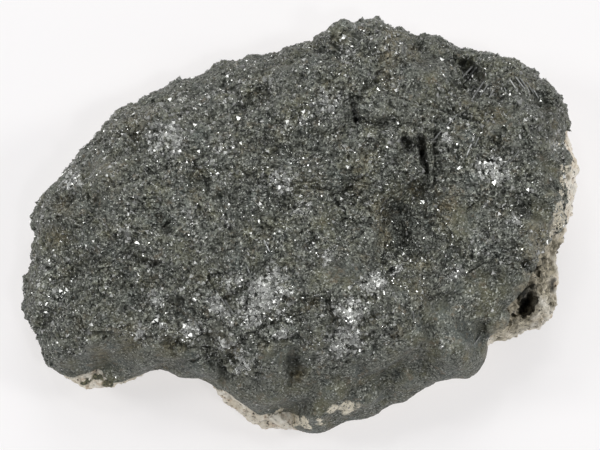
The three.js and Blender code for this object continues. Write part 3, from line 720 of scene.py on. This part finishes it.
def makeOreFinish():
    finish, tree, shader, place = newFinish("granular_ore")
    zone = {name: painted(tree, name) for name in colouredZones}
    fine = cells(tree, place, oreFinish["fineGrain"])
    hue = blendColours(tree, shareBetween(tree, zone["smooth"], 0.2, 0.6, 0.4, 1.0),
                       cells(tree, place, oreFinish["coarseGrain"]), fine)
    tone, speck = channels(tree, hue), channels(tree, fine)
    colour = oreGround(tree, place, zone, tone, speck)
    for layer in (addSilver, addShade, addCrust):
        colour = layer(tree, place, zone, colour, speck)
    gloss = shareBetween(tree, tone[1], 0.0, 1.0, 0.55, 0.25)
    dulled = calculate(tree, "ADD", gloss, times(tree, zone["smooth"], 0.15))
    tree.links.new(colour, shader.inputs["Base Color"])
    tree.links.new(dulled, shader.inputs["Roughness"])
    tree.links.new(leaningGrains(tree, place, zone, hue), shader.inputs["Normal"])
    shader.inputs["Metallic"].default_value = oreFinish["metallic"]
    return finish


for zone in colouredZones:
    paintPoints(ore.data, zone, zoneStrength(pointsOf(ore.data), zone))
# masks for the painted shade in hollows and the painted light on crests
depth = hollowness(ore, oreFinish["hollowRounds"])
depth *= 1 - oreFinish["smoothFlattens"] * zoneStrength(pointsOf(ore.data), "smooth")
paintPoints(ore.data, "hollow", depth / oreFinish["hollowDepth"])
paintPoints(ore.data, "crest", -depth / oreFinish["hollowDepth"])
# mask for the painted shade on the steep walls
paintPoints(ore.data, "wall", 1 - normalsOf(ore.data)[:, 2] * oreShape["levelSlope"])
ore.data.materials.clear()
ore.data.materials.append(makeOreFinish())
print("ore: finished")


# ore grains and crystals, eight-sided, grown from the face

grainKinds = {
    "crystal_clusters": {
        "count": 12000, "radius": (0.15, 0.55), "skew": 3.0, "sunk": 0.40, "longest": 1.2,
        "glitter": 1.0, "frost": 2.4, "plain": 0.030,
        "colour": (0.86, 0.87, 0.84), "dullest": 0.20, "metallic": 0.8, "roughness": 0.30,
    },
    "glints": {
        "count": 24000, "radius": (0.08, 0.20), "skew": 2.0, "sunk": 0.25, "longest": 1.6,
        "glitter": 1.0, "frost": 3.0, "plain": 0.26,
        "colour": (0.90, 0.91, 0.88), "dullest": 0.22, "metallic": 0.85, "roughness": 0.23,
    },
    "dark_grains": {
        "count": 21000, "radius": (0.10, 0.28), "skew": 2.0, "sunk": 0.45, "longest": 1.1,
        "glitter": 1.0, "frost": 1.0, "plain": 0.7,
        "colour": (0.070, 0.073, 0.066), "dullest": 0.4, "metallic": 0.7, "roughness": 0.34,
    },
    "grey_grains": {
        "count": 21000, "radius": (0.08, 0.22), "skew": 2.0, "sunk": 0.45, "longest": 1.1,
        "glitter": 0.4, "frost": 0.6, "plain": 0.8,
        "colour": (0.43, 0.442, 0.395), "dullest": 0.35, "metallic": 0.7, "roughness": 0.42,
    },
}
grainTone = {"shade": 0.7, "frost": 0.3}  # how much darker and lighter grains get there
grainSpread = {
    "seamGap": 0.55,  # no grain sits nearer to the host rock
    "clumps": 0.9,
    "uneven": 0.28,  # how far a grain's corners move in or out
}
eightSided = {
    "corners": np.array([(1, 0, 0), (-1, 0, 0), (0, 1, 0), (0, -1, 0), (0, 0, 1.05), (0, 0, -1.05)]),
    "sides": [(0, 2, 4), (2, 1, 4), (1, 3, 4), (3, 0, 4), (2, 0, 5), (1, 2, 5), (3, 1, 5), (0, 3, 5)],
}


def randomTurns(count):
    q = dice.normal(size=(count, 4))
    q /= np.linalg.norm(q, axis=1)[:, None]
    w, x, y, z = q.T
    return np.stack([
        np.stack([1 - 2 * (y * y + z * z), 2 * (x * y - z * w), 2 * (x * z + y * w)], -1),
        np.stack([2 * (x * y + z * w), 1 - 2 * (x * x + z * z), 2 * (y * z - x * w)], -1),
        np.stack([2 * (x * z - y * w), 2 * (y * z + x * w), 1 - 2 * (x * x + y * y)], -1),
    ], 1)


# where the grains of one kind sit, thickest where the face glitters, and which way is out there
def grainSeats(kind, ground):
    corners = pointsOf(ground)[trianglesOf(ground)]
    middle = corners.mean(1)
    across = np.cross(corners[:, 1] - corners[:, 0], corners[:, 2] - corners[:, 0])
    area = np.linalg.norm(across, axis=1) / 2
    glitter, smooth = zoneStrength(middle, "glitter"), zoneStrength(middle, "smooth")
    shown = distanceTo("matrix", middle) > grainSpread["seamGap"]
    steep = 1 - np.clip(across[:, 2] / (area * 2) * oreShape["levelSlope"], 0, 1)
    bright = kind["glitter"] * glitter ** 2 + kind["frost"] * zoneStrength(middle, "frost")
    clumps = np.clip(0.6 + 3.5 * noiseOver(middle, grainSpread["clumps"], shift=77.0), 0.05, 2)
    weight = area * shown * clumps * (kind["plain"] + bright * (1 - 0.8 * steep)) * (1.03 - smooth)
    picked = dice.choice(len(corners), kind["count"], p=weight / weight.sum())
    u, v = dice.random((2, kind["count"]))
    flip = u + v > 1
    u, v = np.where(flip, 1 - u, u), np.where(flip, 1 - v, v)
    a, b, c = corners[picked].transpose(1, 0, 2)
    seat = a + (b - a) * u[:, None] + (c - a) * v[:, None]
    return seat, across[picked] / (area[picked][:, None] * 2)


def growGrains(name, kind, ground):
    count = kind["count"]
    seat, outward = grainSeats(kind, ground)
    least, most = kind["radius"]
    size = least + (most - least) * dice.random(count) ** kind["skew"]
    seat = seat - outward * (size * kind["sunk"])[:, None]

    stretch = 1 + dice.uniform(-grainSpread["uneven"], grainSpread["uneven"], (count, 6, 1))
    stretch[:, 4:] *= dice.uniform(1, kind["longest"], (count, 1, 1))
    crystals = np.einsum("nij,nkj->nki", randomTurns(count), eightSided["corners"] * stretch)
    crystals = crystals * size[:, None, None] + seat[:, None, :]
    faces = (np.array(eightSided["sides"])[None] + 6 * np.arange(count)[:, None, None]).reshape(-1, 3)
    mesh = bpy.data.meshes.new(name)
    mesh.from_pydata((crystals.reshape(-1, 3) * mm).tolist(), [], faces.tolist())
    # grain tone: random, darker under the painted shade spots, lighter in the frosty patches
    tone = dice.random(count) * (1 - grainTone["shade"] * zoneStrength(seat, "shade"))
    tone += grainTone["frost"] * zoneStrength(seat, "frost")
    paintPoints(mesh, "tone", np.repeat(tone, 6))
    return newPiece(name, mesh)


def makeGrainFinish(name, kind):
    finish, tree, shader, place = newFinish(name)
    dull = tuple(channel * kind["dullest"] for channel in kind["colour"])
    clouds = shareBetween(tree, mottle(tree, place, 2.5, 4), 0.3, 0.6, 0.4, 1.0)
    share = times(tree, painted(tree, "tone"), clouds)
    tree.links.new(blendColours(tree, share, dull, kind["colour"]), shader.inputs["Base Color"])
    shader.inputs["Metallic"].default_value = kind["metallic"]
    shader.inputs["Roughness"].default_value = kind["roughness"]
    return finish


grains = []
for name, kind in grainKinds.items():
    piece = growGrains(name, kind, ore.data)
    piece.data.materials.append(makeGrainFinish(name, kind))
    grains.append(piece)
    print(name, "grown:", len(piece.data.polygons), "faces")


# long thin crystals lying on the face: start, end, half width
oreBlades = [
    ((31.9, 26.2), (29.9, 24.0), 0.18), ((32.6, 26.0), (31.0, 24.0), 0.14),
    ((33.9, 23.4), (31.5, 19.9), 0.21), ((34.4, 22.6), (32.8, 20.2), 0.15),
    ((32.9, 23.4), (31.2, 21.2), 0.14), ((35.6, 21.8), (34.2, 19.6), 0.15),
    ((39.2, 24.2), (41.0, 21.6), 0.17), ((40.2, 23.8), (42.0, 21.0), 0.18),
    ((41.4, 23.0), (42.8, 20.8), 0.17), ((42.6, 22.0), (43.8, 19.8), 0.17),
    ((38.2, 23.6), (39.4, 21.6), 0.14), ((37.0, 22.6), (37.8, 20.6), 0.14),
    ((31.8, 13.2), (30.0, 8.8), 0.18), ((32.4, 12.6), (31.6, 10.8), 0.17),
    ((28.8, 17.0), (26.6, 14.6), 0.14), ((26.0, 14.2), (24.2, 12.0), 0.15),
    ((38.0, 8.8), (36.6, 7.0), 0.14), ((39.6, 10.2), (38.0, 8.0), 0.14),
    ((-15.8, -15.6), (-13.6, -19.2), 0.18), ((-15.0, -15.4), (-13.0, -18.2), 0.17),
    ((-13.4, -17.0), (-11.8, -19.6), 0.17), ((-6.4, -6.0), (-5.2, -8.4), 0.17),
    ((-18.8, -20.6), (-18.0, -22.6), 0.20), ((-9.4, -10.8), (-8.8, -12.4), 0.17),
    ((20.4, -19.0), (20.6, -21.0), 0.14), ((31.6, -25.4), (33.0, -23.6), 0.14),
    ((3.6, 18.8), (6.4, 18.2), 0.15),
]


bladeShape = {
    "rings": [(-0.5, 0.25), (-0.38, 1.0), (0.38, 1.0), (0.5, 0.25)],  # place along it, share of its width
    "sides": 6,
    "tall": 1.3,  # height against width
}


def growBlades(ground):
    tree = BVHTree.FromPolygons([v.co for v in ground.vertices], [f.vertices for f in ground.polygons])
    points, faces = [], []
    rings, sides = bladeShape["rings"], bladeShape["sides"]
    for start, end, halfWidth in oreBlades:
        a, b = underSheet(tree, *start), underSheet(tree, *end)
        halfway = underSheet(tree, (start[0] + end[0]) / 2, (start[1] + end[1]) / 2)
        slope = b - a
        middle = (a + b) / 2
        middle[2] = max(middle[2], halfway[2])
        side = np.cross(slope, (0, 0, 1))
        side = side / np.linalg.norm(side) * halfWidth
        up = np.cross(side, slope)
        up = up / np.linalg.norm(up) * halfWidth * bladeShape["tall"]
        first = len(points)
        last = first + sides * (len(rings) - 1)
        for along, wide in rings:
            for turn in range(sides):
                angle = math.radians(360 / sides * turn)
                around = side * math.cos(angle) + up * math.sin(angle)
                points.append(middle + slope * along + around * wide)
        for ring in range(first, last, sides):
            for turn in range(sides):
                a, b = ring + turn, ring + (turn + 1) % sides
                faces.append((a, b, b + sides, a + sides))
        faces.append(tuple(first + turn for turn in reversed(range(sides))))
        faces.append(tuple(last + turn for turn in range(sides)))
    mesh = bpy.data.meshes.new("crystal_blades")
    mesh.from_pydata((np.array(points) * mm).tolist(), [], faces)
    return newPiece("crystal_blades", mesh)


bladeFinish = {"colour": (0.50, 0.51, 0.50), "metallic": 0.8, "roughness": 0.3}
blades = growBlades(ore.data)
finish, tree, shader, place = newFinish("crystal_blades")
tree.links.new(blendColours(tree, mottle(tree, place, 0.6, 5), oreFinish["dark"], bladeFinish["colour"]),
               shader.inputs["Base Color"])
shader.inputs["Metallic"].default_value = bladeFinish["metallic"]
shader.inputs["Roughness"].default_value = bladeFinish["roughness"]
blades.data.materials.append(finish)
grains.append(blades)
print("crystal blades laid:", len(oreBlades))


# the pale host rock

hostShape = {
    "voxel": 0.30,
    "softening": 8,
    "hiddenWithin": 0.50,
    "triangles": 130000,
    "shrink": 0.20,  # the relief digs in more than it stands out
    "lumps": (3.2, 0.40),
    "crumb": (1.4, 0.36),
    "crustCrumb": (1.5, 0.50),
    "grit": (0.55, 0.11),
    "holes": (1.5, 0.16, 2.6),  # size, start, depth
    "pitEdge": (1.2, 0.35),
    "foot": 8,  # pits stay above this height
    "footFade": 0.6,  # relief fades in over this height above the table
}
hostPits = [  # x, y, half widths, depth, turn in degrees
    (39.7, -13.7, 1.3, 2.3, 3.6, -20), (40.5, -8.2, 1.5, 0.8, 4.0, -35), (38.2, -16.6, 0.7, 0.6, 1.2, 0),
    (36.6, -18.4, 0.9, 0.6, 1.6, 30), (43.6, -11.6, 0.6, 0.9, 1.2, 0), (39.6, -19.0, 0.8, 0.5, 1.2, 10),
    (44.6, -14.0, 0.6, 0.6, 1.2, 0), (45.4, -10.4, 0.6, 0.5, 1.0, 0), (47.6, 7.6, 0.5, 0.5, 0.8, 0),
]
hostLumps = [  # x, y, radius, height of the top
    (42.8, -14.8, 2.0, 16.6), (38.6, -17.6, 1.4, 16.0), (43.4, -18.0, 1.2, 15.4), (-3.0, -34.6, 3.4, 8.8),
]


def hostRelief(points):
    vuggy = spotsOver(points, hostZones["crust"])
    size, height = hostShape["lumps"]
    lift = (ridgesOver(points, size, 4, 20.0) - 1.0) * height
    size, height = hostShape["crumb"]
    lift += billowsOver(points, size, 30.0) * height
    size, height = hostShape["crustCrumb"]
    lift += (ridgesOver(points, size, 3, 31.0) - 1.1) * height * vuggy
    size, height = hostShape["grit"]
    lift += noiseOver(points, size, shift=34.0) * height * 2
    size, start, depth = hostShape["holes"]
    lift -= np.clip(noiseOver(points, size, shift=70.0) - start, 0, 0.5) * depth * vuggy
    lift -= lift.mean() + hostShape["shrink"]
    return lift * np.clip(points[:, 2] / hostShape["footFade"], 0, 1)


def raiseLumps(points, normals):
    for x, y, radius, top in hostLumps:
        share = softSpot(np.hypot(points[:, 0] - x, points[:, 1] - y), radius) * (normals[:, 2] > 0.2)
        points[:, 2] += np.clip(top - points[:, 2], 0, 6) * share * (points[:, 2] > top - 8)


def digPits(points, normals):
    size, swing = hostShape["pitEdge"]
    for x, y, halfX, halfY, depth, turn in hostPits:
        right, up = math.cos(math.radians(turn)), math.sin(math.radians(turn))
        east = (points[:, 0] - x) * right + (points[:, 1] - y) * up
        north = (points[:, 1] - y) * right - (points[:, 0] - x) * up
        away = np.hypot(east / halfX, north / halfY) + noiseOver(points, size, shift=2.0) * swing
        share = np.clip((1.25 - away) / 0.6, 0, 1) * np.clip(normals[:, 2] * 2, 0, 1)
        points[:, 2] -= depth * share * (points[:, 2] > hostShape["foot"])


def makeHost():
    rock = remeshed("host_rock", "matrix", hostShape)
    points, normals = pointsOf(rock.data), normalsOf(rock.data)
    gap, hidden = hiddenPoints(points, normals, "braunite", hostShape["hiddenWithin"])
    raiseLumps(points, normals)
    shown = np.flatnonzero(~hidden)
    points[shown] += normals[shown] * hostRelief(points[shown])[:, None]
    digPits(points, normals)
    points[:, 2] = np.maximum(points[:, 2], 0)
    movePoints(rock.data, points)
    thinOut(rock, hidden, hostShape["triangles"])
    return rock


hostZones = {
    "crust": [
        (41.5, -13.0, 6.0, 1.0), (38.5, -17.0, 4.5, 1.0), (43.0, -8.0, 4.5, 0.9), (45.0, -4.0, 3.5, 0.7),
        (35.5, -19.5, 3.0, 0.7), (44.0, -12.5, 3.4, 0.9), (46.5, -1.0, 2.0, 0.5), (40.0, -18.0, 2.0, 0.4),
    ],
    # painted shade, near black, in and around the pits
    "pitShade": [
        (39.6, -13.7, 3.0, 1.0), (40.5, -8.8, 2.6, 1.0), (45.6, -11.0, 1.6, 0.9), (40.8, -12.4, 2.0, 0.8),
        (36.5, -18.4, 1.4, 0.5), (46.5, 2.0, 1.0, 0.5), (48.5, 6.0, 1.0, 0.5),
    ],
    "bloom": [
        (43.2, -15.0, 2.4, 0.9), (43.6, -18.2, 2.4, 0.9), (40.0, -19.6, 2.0, 0.7), (37.0, -21.4, 2.0, 0.6),
        (45.8, 2.0, 3.6, 0.7), (48.4, 6.5, 3.4, 0.9), (-3.0, -36.6, 4.0, 0.9), (-9.0, -33.0, 3.0, 0.6),
    ],
    "ore_skin": [
        (46.8, 16.0, 2.0, 1.0), (-38.6, -28.6, 1.8, 0.9), (-34.8, -28.2, 1.6, 0.9),
        (-36.8, -27.4, 1.4, 0.8), (48.6, -3.4, 1.1, 0.8),
    ],
}
hostFinish = {
    "cream": (0.71, 0.645, 0.525),
    "white": (0.90, 0.86, 0.77),
    "tan": (0.56, 0.43, 0.31),
    "crust": (0.165, 0.148, 0.105),
    "crustPale": (0.64, 0.58, 0.45),
    # colour of the painted shade in the pits
    "pitShade": (0.014, 0.015, 0.014),
    # the colour of the dark specks, also used for the painted shade in the hollows
    "speck": (0.050, 0.049, 0.044),
    "hollowRounds": 14,
    "hollowDepth": 0.22,
    "hollowShade": 0.46,
    "contactReach": 2.6,  # flakes of ore cling to the rock this near to the ore
}


# cream rock with white and tan clouds, brown crust on the knob, dark specks, and painted shade in its
# hollows
def rockGround(tree, place, zone):
    colour = blendColours(tree, shareBetween(tree, mottle(tree, place, 3.0, 5), 0.4, 0.6),
                          hostFinish["cream"], hostFinish["white"])
    tan = shareBetween(tree, mottle(tree, place, 1.4, 6, 0.7), 0.50, 0.62, 0.0, 0.85)
    colour = blendColours(tree, tan, colour, hostFinish["tan"])
    crumbs = shareBetween(tree, mottle(tree, place, 1.7, 6, 0.72), 0.42, 0.60)
    crust = blendColours(tree, crumbs, hostFinish["crust"], hostFinish["crustPale"])
    crusted = times(tree, shareBetween(tree, zone["crust"], 0.1, 0.45),
                    shareBetween(tree, mottle(tree, place, 1.9, 5), 0.30, 0.42))
    colour = blendColours(tree, crusted, colour, crust)
    bloom = times(tree, zone["bloom"], shareBetween(tree, mottle(tree, place, 1.1, 6, 0.7), 0.40, 0.56))
    colour = blendColours(tree, bloom, colour, hostFinish["white"])
    # painted shade: the hollows darken towards the speck colour
    hollow = times(tree, painted(tree, "hollow"), hostFinish["hollowShade"])
    colour = blendColours(tree, hollow, colour, hostFinish["speck"])
    speck = shareBetween(tree, mottle(tree, place, 0.7, 3, 0.6), 0.60, 0.66)
    return blendColours(tree, speck, colour, hostFinish["speck"])


# flakes of ore that cling to the rock beside the ore
def addOreSkin(tree, place, zone, colour):
    contact = painted(tree, "contact")
    ragged = calculate(tree, "ADD", contact, mottle(tree, place, 1.3, 6, 0.7))
    flakes = times(tree, zone["ore_skin"], shareBetween(tree, contact, 0.0, 0.3))
    flakes = times(tree, flakes, shareBetween(tree, mottle(tree, place, 1.2, 6, 0.7), 0.36, 0.46))
    flakes = larger(tree, shareBetween(tree, flakes, 0.2, 0.4), shareBetween(tree, ragged, 1.44, 1.50))
    grit = channels(tree, cells(tree, place, oreFinish["fineGrain"]))
    skin = blendColours(tree, grit[0], oreFinish["dark"], oreFinish["olive"])
    return blendColours(tree, flakes, colour, skin)


def makeHostFinish():
    finish, tree, shader, place = newFinish("pale_rock")
    zone = {name: painted(tree, name) for name in hostZones}
    colour = addOreSkin(tree, place, zone, rockGround(tree, place, zone))
    # painted shade: the pits and a few spots beside them darkened nearly to black
    pitShade = shareBetween(tree, zone["pitShade"], 0.25, 0.9, 0.0, 0.95)
    colour = blendColours(tree, pitShade, colour, hostFinish["pitShade"])
    tree.links.new(colour, shader.inputs["Base Color"])
    crumb = addNode(tree, "Bump", {"Height": mottle(tree, place, 0.7, 7, 0.7), "Strength": 0.8,
                                   "Distance": 0.3 * mm})
    tree.links.new(crumb.outputs[0], shader.inputs["Normal"])
    shader.inputs["Roughness"].default_value = 0.8
    return finish


rock = makeHost()
for zone, spots in hostZones.items():
    paintPoints(rock.data, zone, spotsOver(pointsOf(rock.data), spots))
paintPoints(rock.data, "hollow", hollowness(rock, hostFinish["hollowRounds"]) / hostFinish["hollowDepth"])
contactGap = distanceTo("braunite", pointsOf(rock.data), hostFinish["contactReach"])
paintPoints(rock.data, "contact", 1 - contactGap / hostFinish["contactReach"])
rock.data.materials.clear()
rock.data.materials.append(makeHostFinish())
print("host rock:", len(trianglesOf(rock.data)), "triangles")


# what rides on what

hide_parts("braunite")
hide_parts("matrix")
for piece in (ore, *grains):
    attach(piece, "root")
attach(rock, "root")


# table, lights and camera

studio = {
    "floorColour": (0.43, 0.423, 0.426),
    "floorDrift": 0.985,  # the table's darker clouds
    "floorGlow": (0.520, 0.513, 0.515),  # the table is lit from below as well
    "sky": (1.0, 1.0, 1.0),
    "skyStrength": 0.40,
    "lamps": [  # place and size in metres, power in watts
        {"at": (0.05, 0.75, 0.95), "size": 0.60, "power": 3.5},
        {"at": (-0.85, 0.10, 0.80), "size": 0.30, "power": 3.0},
        {"at": (0.85, 0.05, 0.80), "size": 0.30, "power": 3.0},
        {"at": (-0.25, 0.45, 1.20), "size": 0.12, "power": 1.0},
        {"at": (0.30, -0.35, 1.20), "size": 0.12, "power": 1.5},
    ],
}


def makeStudio():
    bpy.ops.mesh.primitive_plane_add(size=6)
    floor = bpy.context.object
    floor.name = "floor"
    finish, tree, shader, place = newFinish("pale_table")
    tone = shareBetween(tree, mottle(tree, place, 400.0, 2), 0.3, 0.7)
    low = tuple(channel * studio["floorDrift"] for channel in studio["floorColour"])
    tree.links.new(blendColours(tree, tone, low, studio["floorColour"]), shader.inputs["Base Color"])
    shader.inputs["Roughness"].default_value = 0.9
    shader.inputs["Emission Color"].default_value = (*studio["floorGlow"], 1)
    shader.inputs["Emission Strength"].default_value = 1.0
    floor.data.materials.append(finish)

    world = bpy.data.worlds.new("light_tent")
    bpy.context.scene.world = world
    world.use_nodes = True
    sky = world.node_tree.nodes["Background"]
    sky.inputs["Color"].default_value = (*studio["sky"], 1)
    sky.inputs["Strength"].default_value = studio["skyStrength"]
    for i, lamp in enumerate(studio["lamps"]):
        light = bpy.data.lights.new(f"lamp_{i}", "AREA")
        light.shape = "DISK"
        light.size = lamp["size"]
        light.energy = lamp["power"]
        holder = bpy.data.objects.new(f"lamp_{i}", light)
        bpy.context.scene.collection.objects.link(holder)
        holder.location = lamp["at"]
        holder.rotation_euler = (-Vector(lamp["at"])).to_track_quat("-Z", "Y").to_euler()


view = {"elevation": 80.0, "distance": 0.80, "width": 107.5, "aim": (-0.2, -0.45, 14.0)}


def makeCamera():
    lens = bpy.data.cameras.new("camera")
    lens.sensor_width = 36
    lens.lens = 36 * view["distance"] / (view["width"] * mm)
    lens.clip_end = 20
    camera = bpy.data.objects.new("camera", lens)
    bpy.context.scene.collection.objects.link(camera)
    tilt = math.radians(view["elevation"])
    toCamera = Vector((0, -math.cos(tilt), math.sin(tilt)))
    camera.location = Vector(view["aim"]) * mm + toCamera * view["distance"]
    camera.rotation_euler = (-toCamera).to_track_quat("-Z", "Y").to_euler()
    bpy.context.scene.camera = camera


makeStudio()
makeCamera()
bpy.context.scene.view_settings.view_transform = "Standard"
print("studio ready")
